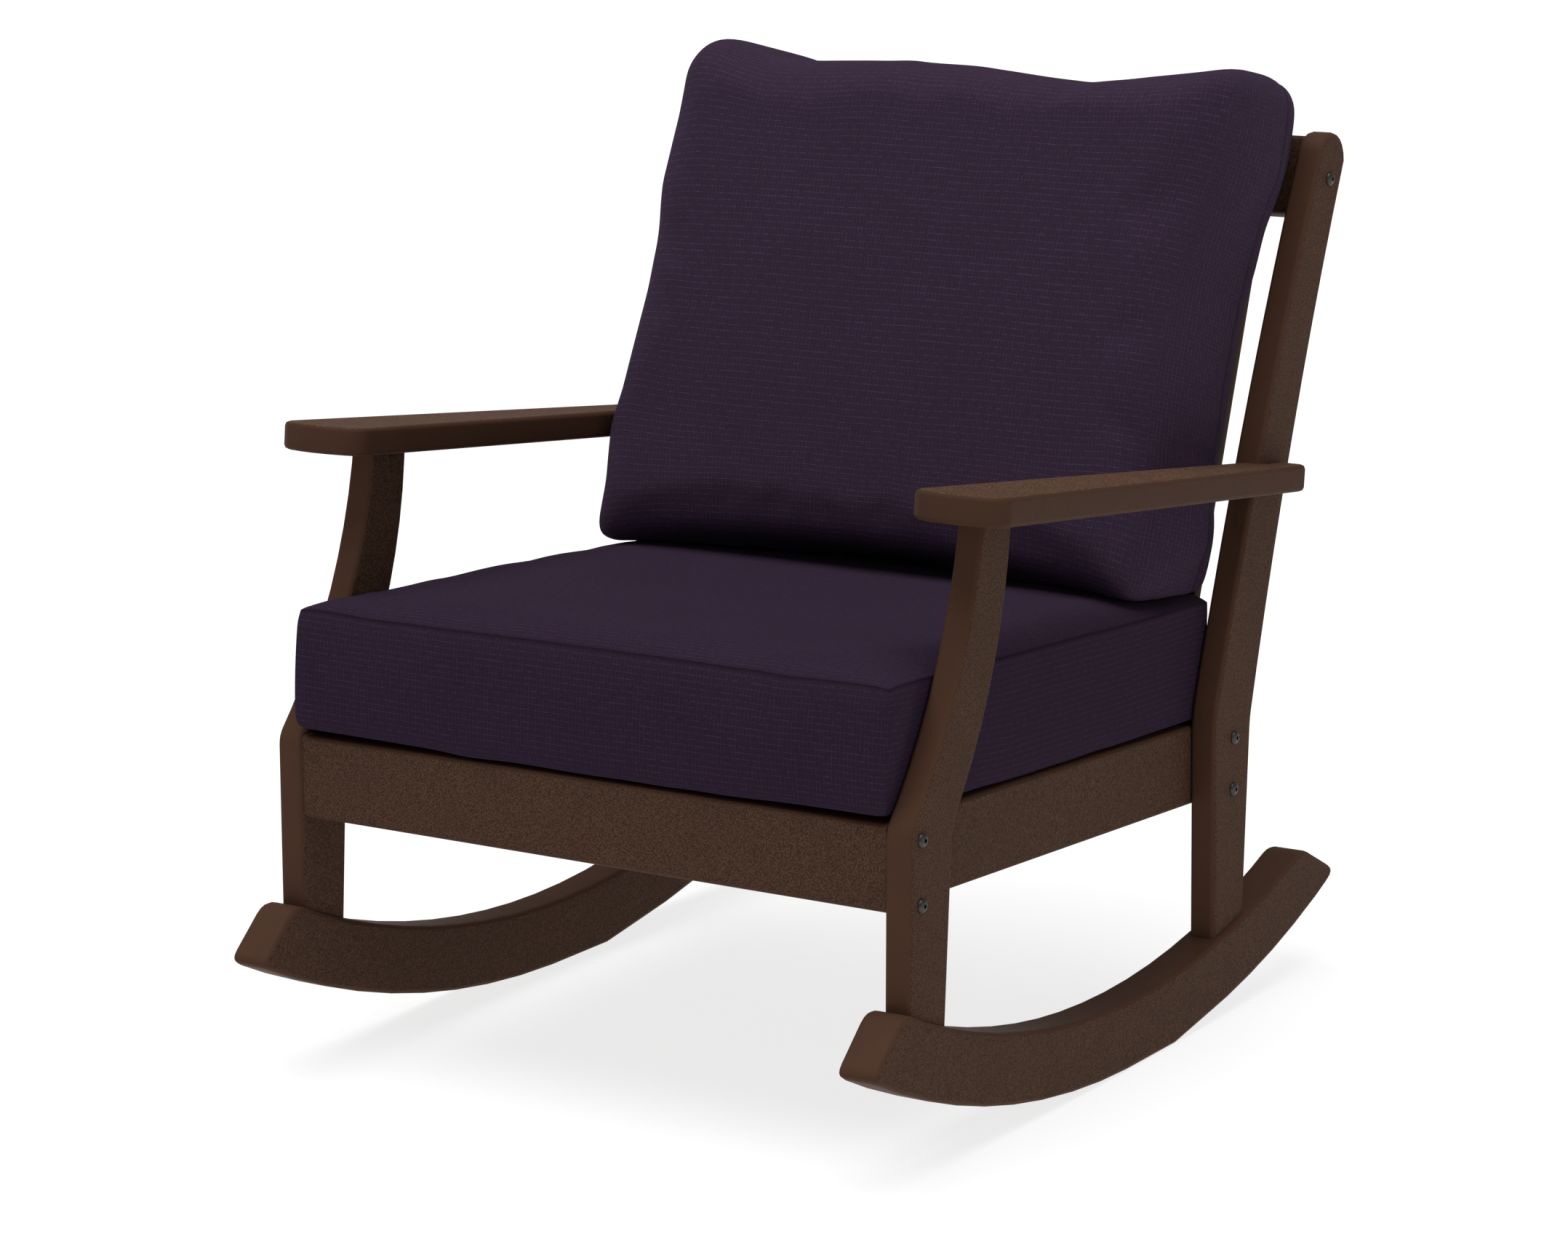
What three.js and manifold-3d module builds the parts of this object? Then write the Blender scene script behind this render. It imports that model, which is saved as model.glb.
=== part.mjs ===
// A rocking chair for the porch: boards of recycled plastic lumber bolted into a frame,
// with a boxed seat cushion and a loose back cushion.
// Millimetres. The chair faces -Y, +Z is up, and "left" and "right" are the sitter's.
// The sitter's left is +X.
import * as THREE from "three";
import { mergeVertices } from "three/addons/utils/BufferGeometryUtils.js";
import Module from "manifold-3d";

// The boards
const BOARD = 25.4; // thickness of every frame board but the rockers
const SLAT = 19; // thickness of the seat and back slats
const SLAT_WIDTH = 88.9;
const ROUNDOVER = 4.2; // routed on every long edge of a frame board
const GAP = 0.3; // between two pieces that touch

// The side frames: one rocker, front leg, back leg and armrest on each side
const LEG_OUTSIDE = 330; // from the middle of the chair to the outer face of a leg
const LEG_INSIDE = LEG_OUTSIDE - BOARD;
const LEG_MIDDLE = LEG_OUTSIDE - BOARD / 2;
const LENGTH_MIDDLE_Y = 42.52; // half way from front to back, where the part's origin goes

// The rockers: two arcs about one centre
const ROCKER_THICKNESS = 38.1; // centred under the legs
const ROCKER_RADIUS = 1048;
const ROCKER_DEPTH = 64;
const ROCKER_CENTRE_Y = 67;
const ROCKER_TOP_RADIUS = ROCKER_RADIUS - ROCKER_DEPTH;
// The chair rests on a level flat, from an angle on the arc to a place along Y. The arc
// takes over again at the angle where it goes on.
const REST = { from: -0.0162, to: 146, on: 0.1313 };
const ROCKER_CENTRE_Z = ROCKER_RADIUS * Math.cos(REST.from); // puts the flat at z = 0

// The seat: it falls towards the back
const SEAT_SLOPE = 0.05;
const SEAT_HEIGHT = 307.4; // top of the seat frame at the back of the front rail
const RAIL_HEIGHT = 76;
const FRONT_RAIL_Y = -327.5; // front face of the front rail
const REAR_RAIL_Y = 253.3; // front face of the rear rail
const HOUSING = 6; // how deep a rail's end is let into its neighbour
const CLEAT_HEIGHT = 38;
const SEAT_SLATS = 5;

// The back: slats in one plane between a top rail and a lower rail
const BACK_SLOPE = 0.336;
const BACK_Y = 266; // middle of the back's plane at BACK_Z
const BACK_Z = 240.7;
const TOP_RAIL_Z = 772; // middle of the top rail
const LOWER_RAIL_TOP = 74; // up the slope of the back from BACK_Z
const LOWER_RAIL_HEIGHT = 38;
const BACK_SLATS = 5;
const BACK_PITCH = 110.3;
const TENON = { width: 70, thickness: 10, length: 12 };

// The armrests
const ARM_SLOPE = 0.103;
const ARM_FRONT_Y = -261; // where the top face is at ARM_TOP
const ARM_TOP = 577.5;
const ARM_TENON = 12; // how far the front leg goes up into the armrest

// The cushions
const CUSHION_WIDTH = 607;
const SEAT_CUSHION = { depth: 594, edge: 115, crown: 10, overhang: 32 };
// bottom and top are up the slope from BACK_Z
const BACK_CUSHION = { thickness: 180, bottom: 128, top: 630, crown: 10 };
const CUSHION_WALL = 20; // each cushion is a shell, open on the side that nobody sees

// The hardware
const BOLT = { head: 13, dome: 3.6, shank: 6.4, length: 64, key: 4, sides: 12 };
const RAIL_SCREW = { head: 7, dome: 2.6, shank: 4.4, length: 58, key: 2.4, sides: 10 };
const ROCKER_SCREW = { head: 9, dome: 3, shank: 6, length: 76, key: 3, sides: 10 };
const NUT = { diameter: 12, length: 18, inset: 36 };
const PLUG = { diameter: 7.6, depth: 6 };
const HOLE_CLEARANCE = 0.35; // on the radius

const LUMBER = new THREE.MeshStandardMaterial({ color: 0x40291f, roughness: 0.55, metalness: 0 });
const CLOTH = new THREE.MeshStandardMaterial({ color: 0x2b2036, roughness: 0.95, metalness: 0 });
const STEEL = new THREE.MeshStandardMaterial({ color: 0x55585c, roughness: 0.35, metalness: 0.9 });

const wasm = await Module();
wasm.setup();

const chair = new THREE.Group();

// Side views are drawn with across = Y and up = Z, and extruded along X.
const SIDE_VIEW = new THREE.Matrix4().makeBasis(
  new THREE.Vector3(0, 1, 0),
  new THREE.Vector3(0, 0, 1),
  new THREE.Vector3(1, 0, 0),
);

// ---- Outlines ----

// The points of an edge from one corner to the next. A bowed edge is an arc that rises
// by its bow to the left of the way from start to end.
function edgePoints(start, end, bow = 0, steps = 1) {
  const chord = end.clone().sub(start);
  const half = chord.length() / 2;
  const left = new THREE.Vector2(-chord.y, chord.x).normalize();
  const points = [start.clone()];
  if (bow !== 0) {
    const radius = (half * half + bow * bow) / (2 * bow);
    const centre = start.clone().add(end).multiplyScalar(0.5).addScaledVector(left, bow - radius);
    const from = start.clone().sub(centre);
    const sweep = -4 * Math.atan(bow / half);
    for (let i = 1; i < steps; i += 1) {
      const turned = from.clone().rotateAround(new THREE.Vector2(), (sweep * i) / steps);
      points.push(centre.clone().add(turned));
    }
  }
  points.push(end.clone());
  return points;
}

// Takes a distance off the start of a line of points.
function trimStart(points, distance) {
  const rest = points.slice();
  let left = distance;
  while (rest.length > 2 && rest[0].distanceTo(rest[1]) <= left) {
    left -= rest[0].distanceTo(rest[1]);
    rest.shift();
  }
  if (left > 0) rest[0] = rest[0].clone().lerp(rest[1], left / rest[0].distanceTo(rest[1]));
  return rest;
}

// A closed outline. Each corner is { at: [across, up], ease, bow, steps }: ease is how far
// from the corner its rounding starts, and bow and steps belong to the edge that follows.
function outline(corners, easeSteps = 4) {
  const at = corners.map((corner) => new THREE.Vector2(...corner.at));
  const count = corners.length;
  const edges = corners.map((corner, i) => {
    const next = (i + 1) % count;
    const whole = edgePoints(at[i], at[next], corner.bow, corner.steps);
    const shorter = trimStart(whole, corner.ease ?? 0).reverse();
    return trimStart(shorter, corners[next].ease ?? 0).reverse();
  });
  const points = [];
  edges.forEach((edge, i) => {
    const next = (i + 1) % count;
    points.push(...edge);
    if (!corners[next].ease) {
      points.pop();
      return;
    }
    const curve = new THREE.QuadraticBezierCurve(edge.at(-1), at[next], edges[next][0]);
    points.push(...curve.getPoints(easeSteps).slice(1, -1));
  });
  return points;
}

// A width by height section with rounded corners, centred on the origin.
function roundedSection(width, height, radius = ROUNDOVER, steps = 2) {
  const points = [];
  for (let corner = 0; corner < 4; corner += 1) {
    const right = corner === 0 || corner === 3 ? 1 : -1;
    const up = corner < 2 ? 1 : -1;
    for (let i = 0; i <= steps; i += 1) {
      const angle = (corner + i / steps) * (Math.PI / 2);
      const x = right * (width / 2 - radius) + radius * Math.cos(angle);
      const y = up * (height / 2 - radius) + radius * Math.sin(angle);
      points.push(new THREE.Vector2(x, y));
    }
  }
  return points;
}

// ---- Solids ----

// Extrudes an outline along Z, centred on z = 0. Its edges are rounded over by round.
function extrude(points, thickness, round = 0, inset = round, steps = 2) {
  const depth = thickness - 2 * round;
  const geometry = new THREE.ExtrudeGeometry(new THREE.Shape(points), {
    depth,
    steps: 1,
    bevelEnabled: round > 0,
    bevelThickness: round,
    bevelSize: inset,
    bevelOffset: -inset,
    bevelSegments: steps,
  });
  return geometry.translate(0, 0, -depth / 2);
}

// The same, for an outline drawn in the side view, centred on x.
function extrudeSideways(points, thickness, x, round = 0, inset = round, steps = 2) {
  return extrude(points, thickness, round, inset, steps).applyMatrix4(SIDE_VIEW).translate(x, 0, 0);
}

// A round rod along X from x = from to x = to.
function rodAlongX(radius, from, to, y, z, sides = 12) {
  const length = Math.abs(to - from);
  const rod = new THREE.CylinderGeometry(radius, radius, length, sides);
  return rod.rotateZ(Math.PI / 2).translate((from + to) / 2, y, z);
}

// A round rod along Y.
function rodAlongY(radius, from, to, x, z, sides = 12) {
  const length = Math.abs(to - from);
  const rod = new THREE.CylinderGeometry(radius, radius, length, sides);
  return rod.translate(x, (from + to) / 2, z);
}

function toManifold(geometry) {
  const bare = new THREE.BufferGeometry();
  const source = geometry.index ? geometry.toNonIndexed() : geometry;
  bare.setAttribute("position", source.getAttribute("position"));
  const merged = mergeVertices(bare, 1e-3);
  return new wasm.Manifold(
    new wasm.Mesh({
      numProp: 3,
      vertProperties: merged.attributes.position.array,
      triVerts: new Uint32Array(merged.index.array),
    }),
  );
}

function fromManifold(solid) {
  const mesh = solid.getMesh();
  const positions = new Float32Array(mesh.numVert * 3);
  for (let i = 0; i < mesh.numVert; i += 1) {
    for (let axis = 0; axis < 3; axis += 1) {
      positions[3 * i + axis] = mesh.vertProperties[mesh.numProp * i + axis];
    }
  }
  const geometry = new THREE.BufferGeometry();
  geometry.setAttribute("position", new THREE.BufferAttribute(positions, 3));
  geometry.setIndex(new THREE.BufferAttribute(mesh.triVerts, 1));
  geometry.computeVertexNormals();
  return geometry;
}

function cut(geometry, cutters) {
  const whole = toManifold(geometry);
  return fromManifold(cutters.reduce((left, cutter) => left.subtract(toManifold(cutter)), whole));
}

function join(pieces) {
  return fromManifold(pieces.map(toManifold).reduce((joined, piece) => joined.add(piece)));
}

function mirrored(geometry) {
  return fromManifold(toManifold(geometry).mirror([1, 0, 0]));
}

function add(name, geometry, material = LUMBER) {
  const mesh = new THREE.Mesh(geometry, material);
  mesh.name = name;
  chair.add(mesh);
  return mesh;
}

// A piece made for the left side (+X), and its mirror image for the right.
function addPair(name, geometry, material = LUMBER) {
  add(`${name}_left`, geometry, material);
  add(`${name}_right`, mirrored(geometry), material);
}

// ---- Lines that several pieces share ----

function seatTop(y) {
  return SEAT_HEIGHT - SEAT_SLOPE * (y - FRONT_RAIL_Y - BOARD);
}

const ARM_ANGLE = Math.atan(ARM_SLOPE);
const BACK_ANGLE = Math.atan(BACK_SLOPE);
const SEAT_ANGLE = Math.atan(SEAT_SLOPE);
const BACK_REACH = (TOP_RAIL_Z - BACK_Z) / Math.cos(BACK_ANGLE); // up the slope to the top rail's middle

// A frame that leans back by an angle, about a line at y and z.
function leaning(y, z, angle) {
  const group = new THREE.Group();
  group.position.set(0, y, z);
  group.rotation.x = -angle;
  group.updateMatrix();
  return group;
}

// In each of these, +Z is square to the slope and +Y runs down it towards the back,
// except that the back's +Z runs up its slope.
const seat = leaning(0, 0, SEAT_ANGLE);
seat.position.set(0, FRONT_RAIL_Y + BOARD, SEAT_HEIGHT);
seat.name = "seat";
const back = leaning(BACK_Y, BACK_Z, BACK_ANGLE);
back.name = "back";
const armFrame = leaning(ARM_FRONT_Y, ARM_TOP, ARM_ANGLE).matrix;
chair.add(seat, back);

function box(width, depth, height, x, y, z) {
  return new THREE.BoxGeometry(width, depth, height).translate(x, y, z);
}

// ---- Where the bolts go: [y, z] on a leg ----

const FRONT_BOLTS = { upper: [-313.5, 295], lower: [-313.5, 239] };
const REAR_BOLTS = { upper: [266, 265.5], lower: [266, 216] };
const TOP_BOLT = [BACK_Y + BACK_SLOPE * (TOP_RAIL_Z - BACK_Z), TOP_RAIL_Z];
const RAIL_SCREWS = { upper: 287, lower: 253 }; // z on the front rail
const RAIL_SCREW_X = LEG_INSIDE - BOARD / 2;

// ---- Rockers ----

const ROCKER_FRONT = { foot: -0.4626, top: -0.4369 };
const ROCKER_REAR = { foot: 0.4148, top: 0.3589 };
const FRONT_SCREW_Y = -300;
const REAR_SCREW_Y = 263;
const ROCKER_SCREW_SEAT = 32; // how far below the rocker's top face a screw's head bears

function polar(radius, angle) {
  const y = ROCKER_CENTRE_Y + radius * Math.sin(angle);
  const z = ROCKER_CENTRE_Z - radius * Math.cos(angle);
  return new THREE.Vector2(y, z);
}

function arc(radius, from, to, steps) {
  return Array.from({ length: steps + 1 }, (_, i) => polar(radius, from + ((to - from) * i) / steps));
}

// The top face, from its rear end to its front end.
function overArc(radius) {
  return arc(radius, ROCKER_REAR.top, ROCKER_FRONT.top, 18);
}

function rockerTop(y) {
  const across = y - ROCKER_CENTRE_Y;
  return ROCKER_CENTRE_Z - Math.sqrt(ROCKER_TOP_RADIUS ** 2 - across ** 2);
}

function rockerOutline() {
  const under = [
    ...arc(ROCKER_RADIUS, ROCKER_FRONT.foot, REST.from, 9),
    new THREE.Vector2(REST.to, 0),
    ...arc(ROCKER_RADIUS, REST.on, ROCKER_REAR.foot, 6),
  ];
  const corners = [...under, ...overArc(ROCKER_TOP_RADIUS)].map((point) => ({ at: [point.x, point.y] }));
  corners[0].ease = 14;
  corners[under.length - 1].ease = 22;
  corners[under.length].ease = 16;
  corners.at(-1).ease = 16;
  return outline(corners);
}

// The space under a rocker's top face, for cutting the feet of the legs.
function underRockerTop() {
  const over = overArc(ROCKER_TOP_RADIUS - GAP);
  const low = [new THREE.Vector2(over.at(-1).x, -50), new THREE.Vector2(over[0].x, -50)];
  return extrudeSideways([...over, ...low], 3 * BOARD, LEG_MIDDLE);
}

// ---- Hardware ----

// A screw or bolt along +Z: its head bears at z = 0 and its shank is below.
function screwGeometry({ head, dome, shank, length, key, sides }) {
  const profile = [
    [0, -length],
    [shank * 0.36, -length],
    [shank / 2, -length + shank * 0.2],
    [shank / 2, 0],
    [head / 2, 0],
    [head / 2, dome * 0.25],
    [head * 0.42, dome * 0.7],
    [head * 0.26, dome],
    [0, dome],
  ];
  const points = profile.map(([radius, height]) => new THREE.Vector2(radius, height));
  const turned = new THREE.LatheGeometry(points, sides).rotateX(Math.PI / 2);
  const socket = new THREE.CylinderGeometry(key / Math.sqrt(3), key / Math.sqrt(3), dome * 1.5, 6);
  return cut(turned, [socket.rotateX(Math.PI / 2).translate(0, 0, dome)]);
}

const boltGeometry = screwGeometry(BOLT).rotateY(Math.PI / 2);
const boltHole = BOLT.shank / 2 + HOLE_CLEARANCE;
const nutHole = NUT.diameter / 2 + HOLE_CLEARANCE;
const nutX = LEG_INSIDE - NUT.inset;

// A barrel nut, across its bolt: its own axis is Y and the bolt's is X.
const nutGeometry = (() => {
  const barrel = new THREE.CylinderGeometry(NUT.diameter / 2, NUT.diameter / 2, NUT.length, 12);
  return cut(barrel, [rodAlongX(boltHole, -NUT.diameter, NUT.diameter, 0, 0, 8)]);
})();

function legHole([y, z]) {
  return rodAlongX(boltHole, LEG_INSIDE - 10, LEG_OUTSIDE + 10, y, z, 10);
}

// A bolt's hole in the end of a rail, and the hole across it for the barrel nut, which is
// open on the side that opens says (-1 towards the front, 1 towards the back). Both ends.
function railHoles([y, z], opens) {
  const length = BOLT.length + 4;
  return [1, -1].flatMap((side) => [
    rodAlongX(boltHole, side * (LEG_OUTSIDE - length), side * (LEG_INSIDE + 10), y, z, 10),
    rodAlongY(nutHole, y - opens * (NUT.length / 2 + GAP), y + opens * BOARD, side * nutX, z),
  ]);
}

// ---- The side frames ----

const frontLegOutline = outline([
  { at: [-331, 105] },
  { at: [-271.3, 105] },
  { at: [-260, 296], ease: 14, bow: -23, steps: 10 },
  { at: [-163.5, 565] },
  { at: [-212, 565], bow: 21.6, steps: 10 },
  { at: [-331, 305], ease: 9 },
]);

const backLegOutline = outline([
  { at: [232.6, 55] },
  { at: [293.5, 55] },
  { at: [303, 277], ease: 10, bow: 10.9, steps: 10 },
  { at: [480, 786], bow: -26, steps: 10 },
  { at: [423, 792], bow: -9.5, steps: 10 },
  { at: [225, 289], ease: 16 },
]);

const armOutline = outline([
  { at: [285, 4], ease: 12, bow: -14, steps: 6 },
  { at: [375.5, 4], ease: 12 },
  { at: [358.5, 618], ease: 10 },
  { at: [LEG_OUTSIDE + GAP, 618] },
  { at: [LEG_OUTSIDE + GAP, 584] },
  { at: [312.5, 584] },
]);

function rockerScrewHole(y, radius, fromTop, toTop) {
  const top = rockerTop(y);
  const length = toTop - fromTop;
  const rod = new THREE.CylinderGeometry(radius, radius, length, 10).rotateX(Math.PI / 2);
  return rod.translate(LEG_MIDDLE, y, top + (fromTop + toTop) / 2);
}

function rockerScrewHoles(y) {
  const end = ROCKER_SCREW.length - ROCKER_SCREW_SEAT + 3;
  return [
    rockerScrewHole(y, ROCKER_SCREW.shank / 2 + HOLE_CLEARANCE, -50, end),
    rockerScrewHole(y, ROCKER_SCREW.head / 2 + HOLE_CLEARANCE, -120, -ROCKER_SCREW_SEAT),
  ];
}

const rocker = cut(extrudeSideways(rockerOutline(), ROCKER_THICKNESS, LEG_MIDDLE, ROUNDOVER), [
  ...rockerScrewHoles(FRONT_SCREW_Y),
  ...rockerScrewHoles(REAR_SCREW_Y),
]);
addPair("rocker", rocker);

// The space above an armrest's underside, less the tenon that the front leg keeps.
const aboveArmUnderside = cut(box(90, 200, 60, LEG_MIDDLE, 70, -BOARD - GAP + 30).applyMatrix4(armFrame), [
  box(16, 26, 80, LEG_MIDDLE, 71, -BOARD + ARM_TENON - 40).applyMatrix4(armFrame),
]);
const armMortise = box(16.6, 26.6, 40, LEG_MIDDLE, 71, -BOARD + ARM_TENON + GAP - 20);

const frontLeg = cut(extrudeSideways(frontLegOutline, BOARD, LEG_MIDDLE, ROUNDOVER), [
  underRockerTop(),
  aboveArmUnderside,
  legHole(FRONT_BOLTS.upper),
  legHole(FRONT_BOLTS.lower),
  rockerScrewHoles(FRONT_SCREW_Y)[0],
]);
addPair("front_leg", frontLeg);

// The lower back rail's ends are let into the back legs.
const lowerRailMiddle = LOWER_RAIL_TOP - LOWER_RAIL_HEIGHT / 2;

function lowerRailBar(thickness, height, length) {
  const bar = extrude(roundedSection(height, thickness), length).rotateY(Math.PI / 2);
  return bar.translate(0, 0, lowerRailMiddle);
}

const lowerRailHousing = lowerRailBar(
  BOARD + 2 * GAP,
  LOWER_RAIL_HEIGHT + 2 * GAP,
  2 * (LEG_INSIDE + HOUSING),
);

const backLeg = cut(extrudeSideways(backLegOutline, BOARD, LEG_MIDDLE, ROUNDOVER), [
  underRockerTop(),
  legHole(REAR_BOLTS.upper),
  legHole(REAR_BOLTS.lower),
  legHole(TOP_BOLT),
  rockerScrewHoles(REAR_SCREW_Y)[0],
  lowerRailHousing.clone().applyMatrix4(back.matrix),
]);
addPair("back_leg", backLeg);

// The armrest takes the front leg's tenon, and is notched round the back leg.
const armBoard = extrude(armOutline, BOARD, ROUNDOVER).translate(0, 0, -BOARD / 2);
const besideBackLeg = extrudeSideways(backLegOutline, BOARD + 2 * GAP, LEG_MIDDLE).translate(0, -GAP, 0);
const armrest = cut(cut(armBoard, [armMortise]).applyMatrix4(armFrame), [besideBackLeg]);
addPair("armrest", armrest);

// ---- The seat frame ----

function crossRail(length, height = RAIL_HEIGHT) {
  return extrude(roundedSection(height, BOARD), length).rotateY(Math.PI / 2);
}

const frontRailMiddle = FRONT_RAIL_Y + BOARD / 2;
const rearRailMiddle = REAR_RAIL_Y + BOARD / 2;
const rearRailTop = seatTop(REAR_RAIL_Y + BOARD);

function railScrewHoles(side, z) {
  const x = side * RAIL_SCREW_X;
  const bearing = FRONT_RAIL_Y + PLUG.depth + GAP + RAIL_SCREW.dome;
  const clearance = RAIL_SCREW.shank / 2 + HOLE_CLEARANCE;
  return [
    rodAlongY(PLUG.diameter / 2 + GAP, FRONT_RAIL_Y - 5, bearing, x, z),
    rodAlongY(clearance, bearing - 1, bearing + RAIL_SCREW.length + 3, x, z, 10),
  ];
}

const frontRailBar = crossRail(2 * (LEG_INSIDE - GAP));
frontRailBar.translate(0, frontRailMiddle, SEAT_HEIGHT - RAIL_HEIGHT / 2);
const frontRail = cut(frontRailBar, [
  ...railHoles(FRONT_BOLTS.upper, 1),
  ...railHoles(FRONT_BOLTS.lower, 1),
  ...[1, -1].flatMap((side) => Object.values(RAIL_SCREWS).flatMap((z) => railScrewHoles(side, z))),
]);
add("front_rail", frontRail);

// A bar along Y between two places, with its top face a given drop below the seat's top line.
function slopingBar(width, height, from, to, x, drop, round, steps) {
  const bar = extrude(roundedSection(width, height, round, steps), to - from).rotateX(Math.PI / 2);
  const slope = new THREE.Matrix4().makeShear(0, 0, 0, -SEAT_SLOPE, 0, 0);
  const y = (from + to) / 2;
  return bar.applyMatrix4(slope).translate(x, y, seatTop(y) - drop - height / 2);
}

const sideRailX = LEG_INSIDE - BOARD / 2;
const sideRailFront = FRONT_RAIL_Y + BOARD + GAP;
const sideRailBar = slopingBar(
  BOARD,
  RAIL_HEIGHT,
  sideRailFront,
  REAR_RAIL_Y + HOUSING - GAP,
  sideRailX,
  0,
  ROUNDOVER,
  2,
);
const sideRailHousing = box(BOARD + 2 * GAP, 2 * HOUSING, 120, sideRailX, REAR_RAIL_Y, 250);
addPair("side_rail", cut(sideRailBar, Object.values(RAIL_SCREWS).map((z) => railScrewHoles(1, z)[1])));

const rearRailBar = crossRail(2 * (LEG_INSIDE - GAP));
rearRailBar.translate(0, rearRailMiddle, rearRailTop - RAIL_HEIGHT / 2);
const rearRail = cut(rearRailBar, [
  ...railHoles(REAR_BOLTS.upper, -1),
  ...railHoles(REAR_BOLTS.lower, -1),
  sideRailHousing,
  sideRailHousing.clone().translate(-2 * sideRailX, 0, 0),
]);
add("rear_rail", rearRail);

const cleatX = LEG_INSIDE - BOARD - GAP - BOARD / 2;
addPair("cleat", slopingBar(BOARD, CLEAT_HEIGHT, -298, 250, cleatX, SLAT + GAP, 3, 1));

// The seat slats lie across the cleats, between the side rails.
const seatRun = (REAR_RAIL_Y - FRONT_RAIL_Y - BOARD) / Math.cos(SEAT_ANGLE);
const seatPitch = seatRun / SEAT_SLATS;
for (let i = 0; i < SEAT_SLATS; i += 1) {
  const slat = extrude(roundedSection(SLAT, SLAT_WIDTH, 3, 1), 2 * (LEG_INSIDE - BOARD - GAP));
  slat.rotateY(Math.PI / 2);
  const mesh = new THREE.Mesh(slat, LUMBER);
  mesh.name = `seat_slat_${i + 1}`;
  mesh.position.set(0, (i + 0.5) * seatPitch, -SLAT / 2);
  seat.add(mesh);
}

// ---- The back ----

const topRailMiddle = BACK_REACH;
const slatFoot = LOWER_RAIL_TOP + GAP;
const slatHead = topRailMiddle - RAIL_HEIGHT / 2 - GAP;
const slatX = Array.from({ length: BACK_SLATS }, (_, i) => (i - (BACK_SLATS - 1) / 2) * BACK_PITCH);

// The mortises that take the tenons of the back slats, in a rail whose face is at z.
function mortises(z) {
  const width = TENON.width + 2 * GAP;
  return slatX.map((x) => box(width, TENON.thickness + 2 * GAP, 2 * TENON.length, x, 0, z));
}

const topRail = cut(crossRail(2 * (LEG_INSIDE - GAP)).translate(0, 0, topRailMiddle), [
  ...railHoles([0, topRailMiddle], 1),
  ...mortises(topRailMiddle - RAIL_HEIGHT / 2),
]);
const topRailMesh = new THREE.Mesh(topRail, LUMBER);
topRailMesh.name = "top_back_rail";
back.add(topRailMesh);

const lowerRailWhole = lowerRailBar(BOARD, LOWER_RAIL_HEIGHT, 2 * (LEG_INSIDE + HOUSING - GAP));
const onRearRail = box(700, 120, 80, 0, rearRailMiddle, rearRailTop + GAP - 40);
const lowerRail = cut(cut(lowerRailWhole, mortises(LOWER_RAIL_TOP)).applyMatrix4(back.matrix), [onRearRail]);
add("lower_back_rail", lowerRail);

slatX.forEach((x, i) => {
  const board = extrude(roundedSection(SLAT_WIDTH, SLAT, 4, 2), slatHead - slatFoot);
  const tenons = box(TENON.width, TENON.thickness, slatHead - slatFoot + 2 * (TENON.length - GAP), 0, 0, 0);
  const mesh = new THREE.Mesh(join([board, tenons]), LUMBER);
  mesh.name = `back_slat_${i + 1}`;
  mesh.position.set(x, 0, (slatFoot + slatHead) / 2);
  back.add(mesh);
});

// ---- Bolts, nuts, screws and plugs ----

function place(geometry, x, y, z) {
  return geometry.clone().translate(x, y, z);
}

const bolts = {
  front_upper: FRONT_BOLTS.upper,
  front_lower: FRONT_BOLTS.lower,
  rear_upper: REAR_BOLTS.upper,
  rear_lower: REAR_BOLTS.lower,
  top: TOP_BOLT,
};
Object.entries(bolts).forEach(([where, [y, z]]) => {
  addPair(`bolt_${where}`, place(boltGeometry, LEG_OUTSIDE + GAP, y, z), STEEL);
  if (where !== "top") addPair(`barrel_nut_${where}`, place(nutGeometry, nutX, y, z), STEEL);
});
const topNut = place(nutGeometry.clone().rotateX(-BACK_ANGLE), nutX, ...TOP_BOLT);
addPair("barrel_nut_top", topNut, STEEL);

const railScrew = screwGeometry(RAIL_SCREW).rotateX(Math.PI / 2);
const plug = new THREE.CylinderGeometry(PLUG.diameter / 2, PLUG.diameter / 2, PLUG.depth, 12);
Object.entries(RAIL_SCREWS).forEach(([where, z]) => {
  const bearing = FRONT_RAIL_Y + PLUG.depth + GAP + RAIL_SCREW.dome - GAP / 2;
  addPair(`rail_screw_${where}`, place(railScrew, RAIL_SCREW_X, bearing, z), STEEL);
  addPair(`plug_${where}`, place(plug, RAIL_SCREW_X, FRONT_RAIL_Y + PLUG.depth / 2, z));
});

const rockerScrew = screwGeometry(ROCKER_SCREW).rotateX(Math.PI);
Object.entries({ front: FRONT_SCREW_Y, rear: REAR_SCREW_Y }).forEach(([where, y]) => {
  const bearing = rockerTop(y) - ROCKER_SCREW_SEAT - GAP;
  addPair(`rocker_screw_${where}`, place(rockerScrew, LEG_MIDDLE, y, bearing), STEEL);
});

// ---- Cushions ----

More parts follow.
